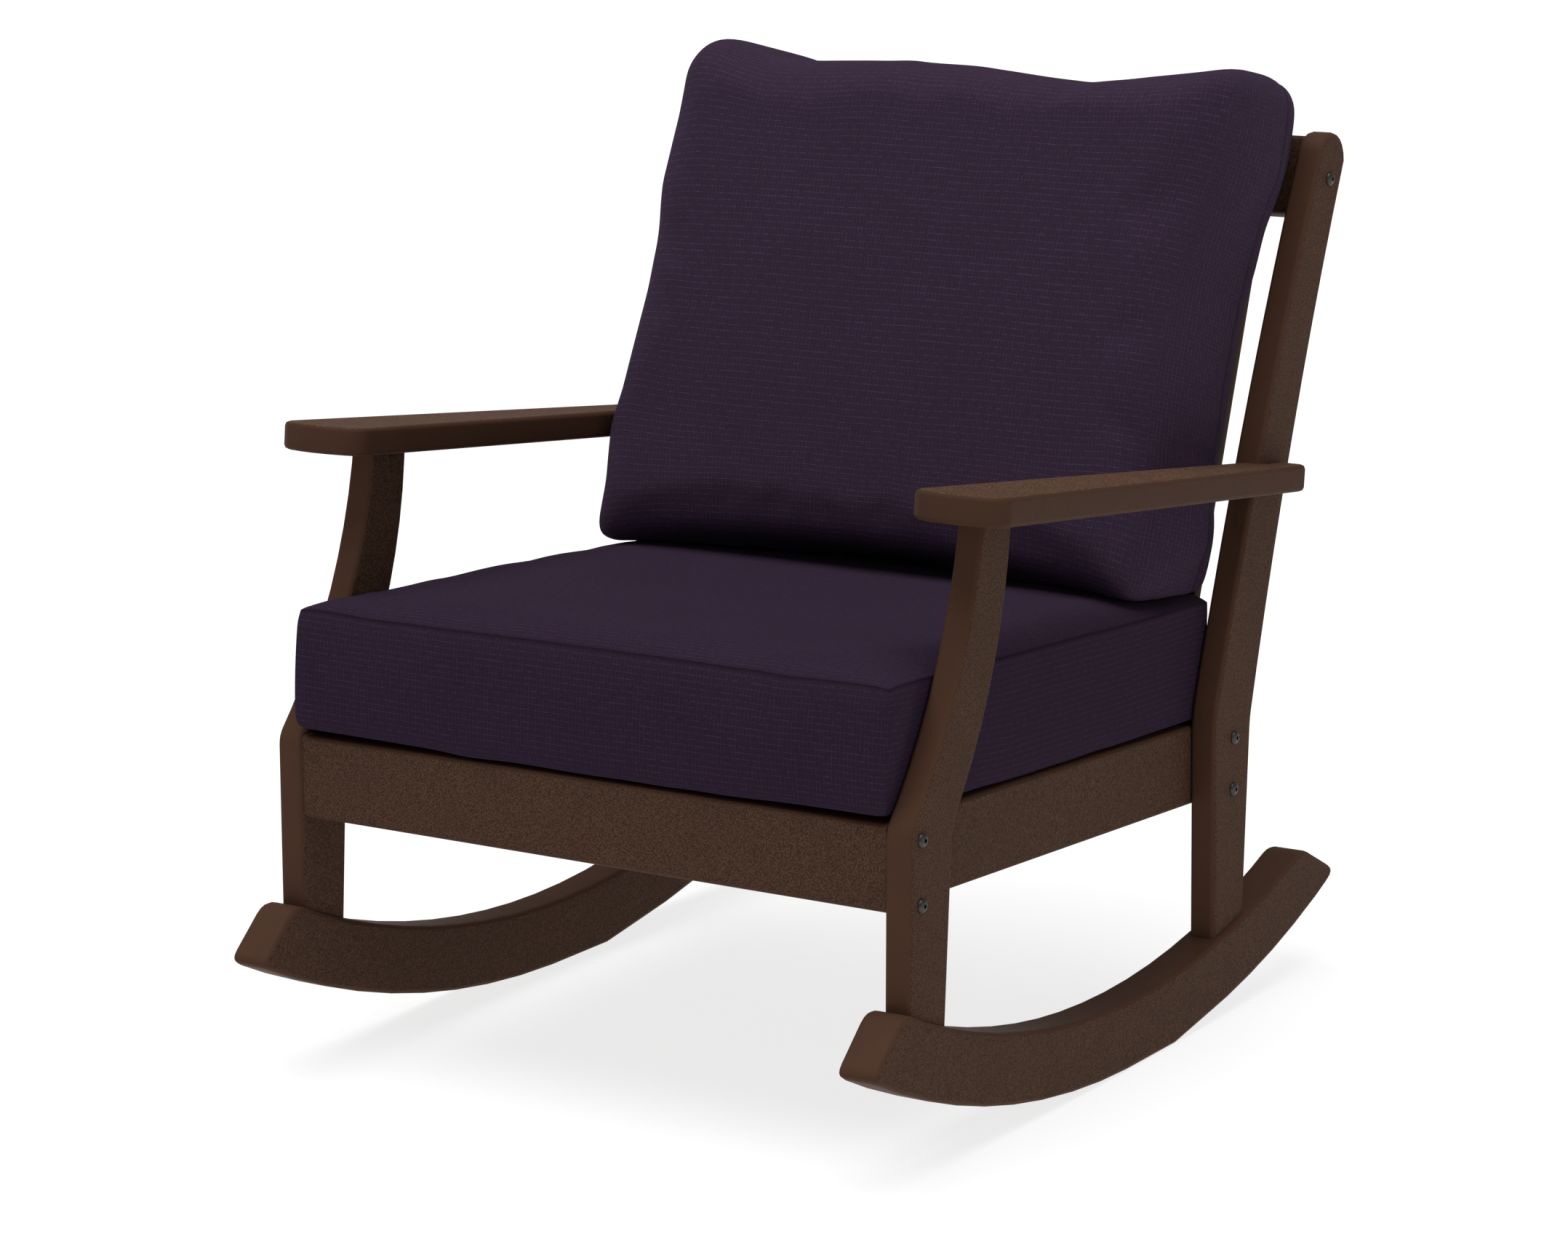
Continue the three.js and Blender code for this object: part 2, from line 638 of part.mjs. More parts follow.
// A box with soft edges and crowned faces, from 0 to its height above z = 0. The crown is
// how far the middle of the top and of the bottom stands out past the edges.
function cushion(width, depth, height, radius, topCrown, bottomCrown) {
  const geometry = new THREE.BoxGeometry(1, 1, 1, 10, 10, 4);
  const position = geometry.getAttribute("position");
  const half = new THREE.Vector3(width / 2, depth / 2, height / 2);
  const core = half.clone().subScalar(radius);
  const point = new THREE.Vector3();
  for (let i = 0; i < position.count; i += 1) {
    point.fromBufferAttribute(position, i);
    point.set(Math.sin(Math.PI * point.x), Math.sin(Math.PI * point.y), Math.sin(Math.PI * point.z));
    const puff = (1 - point.x ** 2) * (1 - point.y ** 2);
    point.multiply(half);
    const inner = point.clone().clamp(core.clone().negate(), core);
    const out = point.sub(inner).setLength(radius);
    inner.add(out);
    inner.z += puff * (out.z > 0 ? topCrown : -bottomCrown) * Math.abs(out.z / radius);
    position.setXYZ(i, inner.x, inner.y, inner.z + half.z);
  }
  return geometry;
}

// A box that hollows a cushion out, from below its underside up to the wall under its top.
function hollow(width, depth, height) {
  const wide = width - 2 * CUSHION_WALL;
  const deep = depth - 2 * CUSHION_WALL;
  return box(wide, deep, height, 0, 0, height / 2 - CUSHION_WALL);
}

const seatCushionWhole = cushion(
  CUSHION_WIDTH,
  SEAT_CUSHION.depth,
  SEAT_CUSHION.edge,
  20,
  SEAT_CUSHION.crown,
  0,
);
const seatHollow = hollow(CUSHION_WIDTH, SEAT_CUSHION.depth, SEAT_CUSHION.edge);
const seatCushion = cut(seatCushionWhole, [seatHollow]);
seatCushion.translate(0, SEAT_CUSHION.depth / 2 - SEAT_CUSHION.overhang, GAP);
const seatCushionMesh = new THREE.Mesh(seatCushion, CLOTH);
seatCushionMesh.name = "seat_cushion";
seat.add(seatCushionMesh);

// The back cushion stands on the seat cushion and leans on the back slats.
function onBack(geometry, floorGap) {
  const middle = (BACK_CUSHION.bottom + BACK_CUSHION.top) / 2;
  geometry.rotateX(Math.PI / 2).translate(0, -BOARD / 2 - 1, middle);
  geometry.applyMatrix4(back.matrix);
  const position = geometry.getAttribute("position");
  for (let i = 0; i < position.count; i += 1) {
    const floor = seatTop(position.getY(i)) + SEAT_CUSHION.edge + SEAT_CUSHION.crown + floorGap;
    position.setZ(i, Math.max(position.getZ(i), floor));
  }
  return geometry;
}

const backCushionLength = BACK_CUSHION.top - BACK_CUSHION.bottom;
const backCushionWhole = cushion(
  CUSHION_WIDTH,
  backCushionLength,
  BACK_CUSHION.thickness,
  46,
  BACK_CUSHION.crown,
  0,
);
const backHollow = hollow(CUSHION_WIDTH, backCushionLength, BACK_CUSHION.thickness);
const backCushion = cut(onBack(backCushionWhole, 2), [onBack(backHollow, 2 + CUSHION_WALL)]);
add("back_cushion", backCushion, CLOTH);

chair.name = "chair";
chair.position.y = -LENGTH_MIDDLE_Y;
const part = new THREE.Group();
part.add(chair);

export default part;
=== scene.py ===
"""The rocking chair's looks: materials on the frame, and the two cushions sewn and stuffed."""
import math

import bpy
import numpy as np
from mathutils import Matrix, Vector, noise


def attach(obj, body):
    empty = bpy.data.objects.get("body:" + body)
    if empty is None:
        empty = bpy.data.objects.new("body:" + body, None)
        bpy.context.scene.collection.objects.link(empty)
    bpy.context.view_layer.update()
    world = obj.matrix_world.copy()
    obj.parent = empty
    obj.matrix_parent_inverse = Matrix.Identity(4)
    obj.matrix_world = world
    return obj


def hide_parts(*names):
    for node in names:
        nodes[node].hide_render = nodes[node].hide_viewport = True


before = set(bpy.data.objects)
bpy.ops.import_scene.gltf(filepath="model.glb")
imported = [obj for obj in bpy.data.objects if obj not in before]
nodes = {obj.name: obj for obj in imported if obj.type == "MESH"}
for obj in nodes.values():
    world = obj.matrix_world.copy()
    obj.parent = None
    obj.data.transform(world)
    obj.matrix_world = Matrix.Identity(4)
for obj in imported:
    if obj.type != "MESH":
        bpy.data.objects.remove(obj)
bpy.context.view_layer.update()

scene = bpy.context.scene

# ---- Camera ----

camera_data = bpy.data.cameras.new("camera")
camera_data.lens = 100.8
camera_data.sensor_width = 36
camera_data.sensor_fit = "HORIZONTAL"
camera_data.clip_start = 0.1
camera_data.clip_end = 400
camera = bpy.data.objects.new("camera", camera_data)
camera.location = (2.0916, -3.38862, 1.2141)
camera.rotation_euler = (math.radians(78.084), 0, math.radians(32.008))
scene.collection.objects.link(camera)
scene.camera = camera

# ---- Light ----

scene.view_settings.view_transform = "Standard"
scene.view_settings.look = "None"

world = bpy.data.worlds.new("studio")
world.use_nodes = True
background = world.node_tree.nodes["Background"]
background.inputs["Color"].default_value = (1, 1, 1, 1)
background.inputs["Strength"].default_value = 0.3
scene.world = world


def softbox(name, place, target, size, power):
    """A rectangular light of a size in metres and a power in watts, turned to its target."""
    data = bpy.data.lights.new(name, "AREA")
    data.shape = "RECTANGLE"
    data.size, data.size_y = size
    data.energy = power
    lamp = bpy.data.objects.new(name, data)
    lamp.location = place
    aim = Vector(target) - Vector(place)
    lamp.rotation_euler = aim.to_track_quat("-Z", "Y").to_euler()
    scene.collection.objects.link(lamp)


# a broad light from above, a little from the front and from the sitter's right
ceiling_data = bpy.data.lights.new("ceiling", "SUN")
ceiling_data.energy = 3.1
ceiling_data.angle = math.radians(55)
ceiling = bpy.data.objects.new("ceiling", ceiling_data)
ceiling.rotation_euler = (math.radians(7), math.radians(-4), 0)
scene.collection.objects.link(ceiling)
softbox("front", (-1.2, -4.2, 2.2), (0, 0, 0.5), (2.4, 1.6), 5)
softbox("side", (3.6, -0.4, 1.3), (0, 0, 0.4), (2.2, 1.6), 11)

# ---- Node graphs ----


class Graph:
    """A material under construction. An input is a number, a colour or another node's output."""

    def __init__(self, name):
        self.material = bpy.data.materials.new(name)
        self.material.use_nodes = True
        self.tree = self.material.node_tree
        self.tree.nodes.clear()

    def node(self, kind, inputs=(), **settings):
        made = self.tree.nodes.new("ShaderNode" + kind)
        for key, value in settings.items():
            setattr(made, key, value)
        for key, value in dict(inputs).items():
            socket = made.inputs[key]
            if isinstance(value, bpy.types.NodeSocket):
                self.tree.links.new(value, socket)
            else:
                socket.default_value = value
        return made

    def math(self, operation, a, b=0.0, c=0.0):
        return self.node("Math", {0: a, 1: b, 2: c}, operation=operation).outputs[0]

    def ramp(self, value, low, high, to_low=0.0, to_high=1.0):
        given = {
            "Value": value,
            "From Min": low,
            "From Max": high,
            "To Min": to_low,
            "To Max": to_high,
        }
        return self.node("MapRange", given, interpolation_type="SMOOTHSTEP").outputs["Result"]

    def noise(self, vector, scale, detail=2.0, roughness=0.5):
        given = {"Vector": vector, "Scale": scale, "Detail": detail, "Roughness": roughness}
        return self.node("TexNoise", given).outputs["Fac"]

    def mix(self, factor, a, b):
        """Colour a where the factor is 0, and colour b where it is 1."""
        return self.node("Mix", {0: factor, 6: a, 7: b}, data_type="RGBA").outputs[2]

    def bump(self, height, distance, strength):
        given = {"Height": height, "Distance": distance, "Strength": strength}
        return self.node("Bump", given).outputs["Normal"]

    def finish(self, **inputs):
        """The material, with its shader's inputs named as on the node, _ for a space."""
        given = {key.replace("_", " "): value for key, value in inputs.items()}
        shader = self.node("BsdfPrincipled", given)
        self.node("OutputMaterial", {"Surface": shader.outputs[0]})
        return self.material


def tone(colour, factor=1.0):
    """A linear colour, made lighter or darker, with full alpha."""
    return (*(factor * c for c in colour), 1.0)


# ---- The boards ----

FACE_DARK, FACE_PALE = (0.036, 0.0192, 0.0122), (0.089, 0.0485, 0.032)
EDGE_DARK, EDGE_PALE = (0.061, 0.030, 0.0185), (0.071, 0.035, 0.022)
MOTTLE = (0.045, 0.026, 0.018)


def lumber(axis):
    """Recycled-plastic board. Its two moulded faces look along an axis and have a coarse
    orange-peel grain; the sawn and routed edges between them are smoother and redder."""
    g = Graph("lumber_" + "xyz"[axis])
    # the level boards' faces are coarser, and painted paler as painted light from above; their
    # edges are painted darker as painted shade
    coarse, painted_face_light, painted_edge_shade = (0.72, 1.3, 0.85) if axis == 2 else (1.0, 1.0, 1.0)
    coordinate = g.node("TexCoord").outputs
    place, normal = coordinate["Object"], coordinate["Normal"]
    facing = g.node("SeparateXYZ", {0: normal}).outputs[axis]
    face = g.ramp(g.math("ABSOLUTE", facing), 0.8, 0.96)
    grain = g.noise(place, 760 * coarse, 2.0, 0.55)
    peel = g.noise(place, 210, 1.5, 0.5)
    mottle = g.noise(place, 22, 3.0, 0.55)
    fine = g.noise(place, 1300, 1.0, 0.5)
    specks = g.ramp(grain, 0.38, 0.62)
    # on the level boards these colours carry painted light on the moulded faces and painted
    # shade on the edges
    on_face = g.mix(specks, tone(FACE_DARK, painted_face_light), tone(FACE_PALE, painted_face_light))
    on_edge = g.mix(fine, tone(EDGE_DARK, painted_edge_shade), tone(EDGE_PALE, painted_edge_shade))
    colour = g.mix(face, on_edge, on_face)
    colour = g.mix(g.ramp(mottle, 0.3, 0.7, 0.0, 0.22), colour, tone(MOTTLE))
    height = g.math("MULTIPLY_ADD", grain, 0.7, g.math("MULTIPLY", peel, 0.9))
    height = g.math("MULTIPLY", height, g.math("MULTIPLY_ADD", face, 0.92, 0.08))
    rough = g.math("ADD", g.math("MULTIPLY", face, 0.1), g.ramp(grain, 0.3, 0.7, 0.42, 0.56))
    return g.finish(
        Base_Color=colour,
        Roughness=rough,
        Specular_IOR_Level=0.02,
        Normal=g.bump(height, 0.0011, 0.55),
    )


def steel():
    """Blackened stainless steel, a little cloudy."""
    g = Graph("steel")
    place = g.node("TexCoord").outputs["Object"]
    cloud = g.noise(place, 260, 3.0, 0.6)
    streak = g.noise(place, 1500, 2.0, 0.6)
    return g.finish(
        Base_Color=g.mix(cloud, tone((0.02, 0.019, 0.018)), tone((0.085, 0.082, 0.08))),
        Metallic=0.9,
        Roughness=g.ramp(streak, 0.3, 0.7, 0.34, 0.5),
        Normal=g.bump(streak, 0.00006, 0.5),
    )


# ---- The cover's cloth ----

WARP_PITCH = 0.0039
WEFT_SLUB, WARP_SLUB = 0.0055, 0.009  # about how long a slub is
TWILL_PITCH, RIB_PITCH = 0.0021, 0.0016


def cloth(name, pitch, light):
    """Canvas in the cover's own flat pattern: a fine twill of one colour, with slub threads
    across it every pitch metres and weaker ones down it, and painted shade along its seams."""
    g = Graph(name)
    flat = g.node("UVMap", uv_map="pattern").outputs["UV"]
    parts = g.node("SeparateXYZ", {0: flat}).outputs
    across, down = parts[0], parts[1]
    sway = g.noise(flat, 9, 2.0)
    wander = g.math("MULTIPLY_ADD", sway, pitch * 0.8, down)

    def threads(along, over, every, length):
        """Lines that run along and repeat over, broken into slubs of about a length."""
        wave = g.math("SINE", g.math("MULTIPLY", over, 2 * math.pi / every))
        sharp = g.ramp(wave, 0.68, 1.0)
        stretched = {
            0: g.math("MULTIPLY", along, 1 / length),
            1: g.math("MULTIPLY", over, 0.55 / every),
            2: 0.0,
        }
        patches = g.noise(g.node("CombineXYZ", stretched).outputs[0], 1.0, 2.0, 0.6)
        return g.math("MULTIPLY", sharp, g.ramp(patches, 0.33, 0.66))

    weft = threads(across, wander, pitch, WEFT_SLUB)
    warp = threads(down, across, WARP_PITCH, WARP_SLUB)
    diagonal = g.math("ADD", across, down)
    twill = g.math("SINE", g.math("MULTIPLY", diagonal, 2 * math.pi / TWILL_PITCH))
    ribs = g.math("SINE", g.math("MULTIPLY", down, 2 * math.pi / RIB_PITCH))
    weave = g.math("MULTIPLY", twill, ribs)
    fuzz = g.noise(flat, 700, 2.0, 0.6)
    cloud = g.noise(flat, 14, 3.0, 0.55)
    seam = g.node("Attribute", attribute_name="seam").outputs["Fac"]
    base = g.mix(g.ramp(weave, -1.0, 1.0, 0.1, 0.9), tone(light, 0.62), tone(light))
    base = g.mix(g.ramp(fuzz, 0.35, 0.65, 0.0, 0.5), base, tone(light, 0.5))
    base = g.mix(g.math("MULTIPLY", weft, 0.36), base, tone(light, 2.3))
    base = g.mix(g.math("MULTIPLY", warp, 0.3), base, tone(light, 2.0))
    base = g.mix(g.ramp(cloud, 0.35, 0.7, 0.0, 0.16), base, tone(light, 0.6))
    # painted shade: the cloth is darkened along the seams, where the seam's crease is shaded
    base = g.mix(g.math("MULTIPLY", seam, 0.9), base, tone(light, 0.25))
    height = g.math("MULTIPLY_ADD", weave, 0.22, weft)
    fluff = g.math("MULTIPLY_ADD", warp, 0.4, g.math("MULTIPLY", fuzz, 0.5))
    return g.finish(
        Base_Color=base,
        Roughness=g.ramp(fuzz, 0.2, 0.8, 0.86, 0.96),
        Specular_IOR_Level=0.02,
        Sheen_Weight=0.015,
        Sheen_Roughness=0.5,
        Sheen_Tint=tone((0.75, 0.65, 0.85)),
        Normal=g.bump(g.math("ADD", height, fluff), 0.0004, 0.5),
    )


# ---- Materials on the frame ----

lumbers = [lumber(axis) for axis in range(3)]
steel_material = steel()
SIDEWAYS = ("rocker_left", "rocker_right", "front_leg", "back_leg", "side_rail", "cleat")
LEVEL = ("armrest", "seat_slat")
METAL = ("bolt_", "barrel_nut", "rail_screw", "rocker_screw")


def material_for(name):
    """A node's material: for a board, the one whose axis its moulded faces look along."""
    if name.startswith(METAL):
        return steel_material
    if name.startswith(SIDEWAYS):
        return lumbers[0]
    if name.startswith(LEVEL):
        return lumbers[2]
    return lumbers[1]


def dress(name, obj):
    """Gives a frame node its material, and shades its rounded edges smoothly."""
    mesh = obj.data
    mesh.materials.clear()
    mesh.materials.append(material_for(name))
    mesh.polygons.foreach_set("use_smooth", [True] * len(mesh.polygons))
    if "custom_normal" in mesh.attributes:
        mesh.attributes.remove(mesh.attributes["custom_normal"])
    weld = obj.modifiers.new("weld", "WELD")
    weld.merge_threshold = 2e-5
    split = obj.modifiers.new("split", "EDGE_SPLIT")
    split.split_angle = math.radians(50)
    split.use_edge_sharp = False
    normals = obj.modifiers.new("normals", "WEIGHTED_NORMAL")
    normals.keep_sharp = True
    normals.weight = 60


for name, obj in nodes.items():
    if "cushion" not in name:
        dress(name, obj)

# ---- Cushion meshes ----

ORIGIN_Y = -0.04252  # from the middle of the seat's drawing to the part's origin
MESH_STEP = 0.0105
LEG_INSIDE = 0.3036  # half the clear width between the legs
OFF_WOOD = 0.0012  # how far a cushion's underside or rear stays off the slats


class Plane:
    """A cushion's own frame: a corner on the slats, and directions along and away from them."""

    def __init__(self, corner, along, up):
        self.corner = np.array(corner, float)
        self.along = np.array(along, float) / np.linalg.norm(along)
        self.up = np.array(up, float) / np.linalg.norm(up)

    def out(self, p):
        """From (x, along, up) to the chair's coordinates."""
        side = np.outer(p[:, 0], (1, 0, 0))
        return self.corner + side + np.outer(p[:, 1], self.along) + np.outer(p[:, 2], self.up)

    def into(self, q):
        """From the chair's coordinates to (x, along, up)."""
        d = q - self.corner
        return np.stack([d[:, 0], d @ self.along, d @ self.up], 1)


def spaced(low, high, extra=()):
    """Numbers from low to high about a mesh step apart, the extra ones among them."""
    marks = sorted({low, high, *extra})
    made = []
    for a, b in zip(marks, marks[1:]):
        count = max(1, round((b - a) / MESH_STEP))
        made += [a + (b - a) * i / count for i in range(count)]
    return made + [high]


def pad_mesh(name, xs, ys, zs):
    """A closed box of quads over three lists of lines. Each wall's own flat pattern is its
    UV map, in metres, so threads across a wall stay level."""
    grids = (xs, ys, zs)
    last = [len(v) - 1 for v in grids]
    index, points, faces, pattern = {}, [], [], []

    def vertex(key):
        if key not in index:
            index[key] = len(points)
            points.append([grids[a][key[a]] for a in range(3)])
        return index[key]

    for axis in range(3):
        u, v = [a for a in range(3) if a != axis]
        shift = 0.37 * axis  # so that neighbouring walls don't share a pattern
        for end in (0, last[axis]):
            flip = (end == 0) != (axis == 1)
            for i in range(last[u]):
                for j in range(last[v]):
                    corners = []
                    for di, dj in ((0, 0), (1, 0), (1, 1), (0, 1)):
                        key = [0, 0, 0]
                        key[axis], key[u], key[v] = end, i + di, j + dj
                        corners.append(tuple(key))
                    if flip:
                        corners.reverse()
                    faces.append([vertex(key) for key in corners])
                    pattern += [(grids[u][key[u]] + shift, grids[v][key[v]]) for key in corners]
    mesh = bpy.data.meshes.new(name)
    mesh.from_pydata(points, [], faces)
    layer = mesh.uv_layers.new(name="pattern")
    layer.data.foreach_set("uv", np.array(pattern, np.float32).ravel())
    mesh.polygons.foreach_set("use_smooth", [True] * len(mesh.polygons))
    obj = bpy.data.objects.new(name, mesh)
    scene.collection.objects.link(obj)
    return obj, np.array(points, float)


def rounded(p, low, high, radius):
    """Rounds a box's corners, by a radius in each axis for each point."""
    core = np.clip(p, low + radius, high - radius)
    d = (p - core) / radius
    size = np.linalg.norm(d, axis=1)
    size[size < 1e-9] = 1
    return core + radius * d / size[:, None]


def ripple(points, scale, seed):
    """Smooth noise from -1 to 1."""
    shift = Vector((seed * 7.31, seed * 3.17, seed * 5.77))
    return np.array([noise.noise(Vector(q) * scale + shift) for q in points])


def outward(points, middle, height_factor):
    """Directions away from a pad's middle, with the height counting for more or less."""
    away = points - np.array(middle)
    away[:, 2] *= height_factor
    return away / np.linalg.norm(away, axis=1)[:, None]


def on_rim(p, low, high, level, near=1e-6):
    """Which points lie on the walls of a pad at one level, as 1 or 0."""
    beside = np.abs(p[:, 0] - low[0]) < near
    beside |= np.abs(p[:, 0] - high[0]) < near
    beside |= np.abs(p[:, 1] - low[1]) < near
    beside |= np.abs(p[:, 1] - high[1]) < near
    return (beside & (np.abs(p[:, 2] - level) < near)).astype(float)


def store(obj, points):
    obj.data.vertices.foreach_set("co", points.astype(np.float32).ravel())
    obj.data.update()


def attribute(obj, name, values):
    made = obj.data.attributes.new(name, "FLOAT", "POINT")
    made.data.foreach_set("value", values.astype(np.float32))


STUFFING_FRAMES = 16


def stuff(obj, points, seam, pressure, cap):
    """Fills the cover by cloth simulation, and lets no point move further than cap."""
    group = obj.vertex_groups.new(name="seam")
    for i in np.flatnonzero(seam > 0.5):
        group.add([int(i)], 1.0, "REPLACE")
    modifier = obj.modifiers.new("cloth", "CLOTH")
    settings = modifier.settings
    settings.quality = 5
    settings.mass = 0.25
    settings.tension_stiffness = 18
    settings.compression_stiffness = 12
    settings.shear_stiffness = 6
    settings.bending_stiffness = 0.35
    settings.use_pressure = True
    settings.uniform_pressure_force = pressure
    settings.effector_weights.gravity = 0
    # the seam is gathered, and the rest of the cover is cut a little full
    settings.vertex_group_shrink = "seam"
    settings.shrink_min = -0.008
    settings.shrink_max = 0.05
    modifier.collision_settings.use_collision = False
    modifier.point_cache.frame_start = 1
    modifier.point_cache.frame_end = STUFFING_FRAMES
    for frame_number in range(1, STUFFING_FRAMES + 1):
        scene.frame_set(frame_number)
    shown = obj.evaluated_get(bpy.context.evaluated_depsgraph_get())
    moved = np.empty(len(points) * 3, np.float32)
    shown.data.vertices.foreach_get("co", moved)
    obj.modifiers.remove(modifier)
    obj.vertex_groups.remove(group)
    scene.frame_set(1)
    shift = moved.reshape(-1, 3).astype(float) - points
    shift -= shift.mean(0)
    length = np.linalg.norm(shift, axis=1)
    keep = cap * np.tanh(length / cap) / np.maximum(length, 1e-9)
    return points + shift * keep[:, None]


def finish_pad(obj, body, node, material):
    subdivision = obj.modifiers.new("subdivision", "SUBSURF")
    subdivision.levels = 1
    subdivision.render_levels = 1
    obj.data.materials.append(material)
    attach(obj, body)
    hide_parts(node)


# ---- The seat cushion ----

seat_plane = Plane((0, -0.3021 + ORIGIN_Y, 0.3074), (0, 1, -0.05), (0, 0.05, 1))
SEAT_LOW = np.array((-0.312, -0.0355, 0.001))
SEAT_HIGH = np.array((0.312, 0.562, 0.115))
SEAT_CORNER = 0.012
SEAT_CROWN = 0.012
CROWN_POWER = 12  # high, so the top is level nearly to its edges
SEAT_BAND = 0.011  # the height of the walls' top that rises with the crown
BESIDE_SEAM = 0.0025  # the lines of the mesh on both sides of a seam
SEAT_MIDDLE = (0, 0.265, 0.06)
SEAT_SEAM_RIDGE = 0.0012
SEAT_FRONT_STOP, SEAT_TOP_STOP = -0.041, 0.1275
BACK_STANDS_FROM = 0.42  # how far from the front the back cushion's foot begins
FREE_RISE = 0.012  # how far the top may swell in front of it
# the front leg's front edge leans back as it rises, and beyond it the cushion is wider
LEG_EDGE, LEG_LEAN, LEG_FOOT = -0.031, 0.4577, 0.004
WIDER, WIDER_OVER = 0.0095, 0.014


def seat_top(x, y):
    """The height of the seat cushion's top where the back cushion stands on it."""
    side = 1 - np.abs(np.clip(x / SEAT_HIGH[0], -1, 1)) ** CROWN_POWER
    middle = (SEAT_LOW[1] + SEAT_HIGH[1]) / 2
    forward = np.clip((middle - y) / (middle - SEAT_LOW[1]), 0, 1)
    return SEAT_HIGH[2] + SEAT_CROWN * side * (1 - forward**CROWN_POWER)


def seat_points(p):
    """The cover of the seat cushion before it is stuffed, from the points of a plain box."""
    unit = (p - SEAT_LOW) / ((SEAT_HIGH - SEAT_LOW) / 2) - 1
    level = (unit[:, 2] + 1) / 2
    corner = np.full(len(p), SEAT_CORNER)
    q = rounded(p, SEAT_LOW, SEAT_HIGH, np.stack([corner, corner, 0.0105 - 0.002 * level], 1))
    top = np.clip((q[:, 2] - (SEAT_HIGH[2] - SEAT_BAND)) / SEAT_BAND, 0, 1)
    q[:, 2] += top * (seat_top(q[:, 0], q[:, 1]) - SEAT_HIGH[2])
    # the sides draw in between the corners, least at half their height
    wall = 4 * level * (1 - level)
    inward = 0.0035 * (1 - unit[:, 1] ** 2) * (1 - 0.5 * wall)
    q[:, 0] -= np.sign(unit[:, 0]) * inward * (np.abs(unit[:, 0]) > 0.96)
    # the front swells at half its height, and is a little hollow across
    front = unit[:, 1] < -0.97
    bulge = wall * 0.004 + 0.0018 * ripple(p, 9, 3) - 0.003 * (1 - unit[:, 0] ** 2)
    q[:, 1] -= front * bulge
    q[:, 2] += (level > 0.9) * 0.0008 * ripple(p, 11, 5)
    return q


def beside(low, high):
    """The lines next to the two edges of a panel."""
    return (low + BESIDE_SEAM, high - BESIDE_SEAM)


seat, flat = pad_mesh(
    "seat_pad_cover",
    spaced(SEAT_LOW[0], SEAT_HIGH[0], beside(SEAT_LOW[0], SEAT_HIGH[0])),
    spaced(SEAT_LOW[1], SEAT_HIGH[1], beside(SEAT_LOW[1], SEAT_HIGH[1])),
    spaced(SEAT_LOW[2], SEAT_HIGH[2], (SEAT_HIGH[2] - BESIDE_SEAM,)),
)
local = seat_points(flat)
store(seat, local)
seat_seam = on_rim(flat, SEAT_LOW, SEAT_HIGH, SEAT_HIGH[2])
local = stuff(seat, local, seat_seam, 2.0, 0.0035)
local += outward(local, SEAT_MIDDLE, 4) * (seat_seam * SEAT_SEAM_RIDGE)[:, None]
# it lies flat on the slats, and its top stays under the back cushion
local[:, 2] = np.clip(local[:, 2], OFF_WOOD, SEAT_TOP_STOP)
swell = FREE_RISE * np.clip((BACK_STANDS_FROM - local[:, 1]) / 0.05, 0, 1)
local[:, 2] = np.minimum(local[:, 2], seat_top(local[:, 0], local[:, 1]) + swell)
local[:, 1] = np.maximum(local[:, 1], SEAT_FRONT_STOP)
# it fits between the front legs
leg_edge = LEG_EDGE + LEG_LEAN * (local[:, 2] + LEG_FOOT)
limit = LEG_INSIDE + WIDER * np.clip((leg_edge - local[:, 1]) / WIDER_OVER, 0, 1)
local[:, 0] = np.clip(local[:, 0], -limit, limit)
store(seat, seat_plane.out(local))
# the seam attribute says where the cloth gets painted shade along the seam
attribute(seat, "seam", seat_seam)

# ---- The back cushion ----

back_plane = Plane((0, 0.257 + ORIGIN_Y, 0.2437), (0, 0.3185, 0.948), (0, -0.948, 0.3185))
BACK_LOW = np.array((-0.3, 0.12, 0.002))
BACK_HIGH = np.array((0.3, 0.627, 0.192))
BACK_SEAM = 0.062  # how far in front of the slats the seam runs round
BACK_MIDDLE = (0, 0.38, 0.1)
BACK_SEAM_GROOVE = 0.0016
BACK_FRONT_STOP = 0.2
CORNER = 0.044  # how far the corners are rounded, seen from in front
FRONT_ROUND, REAR_ROUND = 0.056, 0.042  # how far the front's and the rear's edges are rounded
# half the width, up the cushion's height, on the sitter's right and left
RIGHT_WIDTH = np.array((
    (0.13, 0.306), (0.18, 0.31), (0.23, 0.316), (0.27, 0.313),
    (0.42, 0.309), (0.48, 0.314), (0.55, 0.309), (0.62, 0.305),
))
LEFT_WIDTH = np.array((
    (0.13, 0.3), (0.2, 0.304), (0.27, 0.3), (0.42, 0.3),
    (0.5, 0.31), (0.56, 0.32), (0.6, 0.32), (0.62, 0.316),
))
# how far the top edge stands above or below its mean, across the cushion
TOP_RISE = np.array((
    (-0.3, 0.009), (-0.275, 0.011), (-0.255, 0.009), (-0.225, 0.002),
    (-0.19, -0.0055), (-0.155, -0.0055), (-0.12, -0.0035), (-0.05, 0.0005),
    (0.025, -0.002), (0.1, -0.0085), (0.15, -0.011), (0.19, -0.0095),
    (0.23, -0.0065), (0.26, -0.0035), (0.285, 0.0005), (0.31, 0.004),
))
BACK_LEG_FRONT = 0.036  # how far the back legs' front edges are in front of the slats
BOARD_HALF = 0.0127
OFF_ARM = 0.001
# the armrests, where their inner front corners begin: height of the top, half the clear
# width, and how both change per metre to the rear
ARM_FRONT_Y = -0.261
ARM_TOP, ARM_DROP = 0.5775, 0.103
ARM_INSIDE, ARM_SPREAD = 0.2845, 0.0475


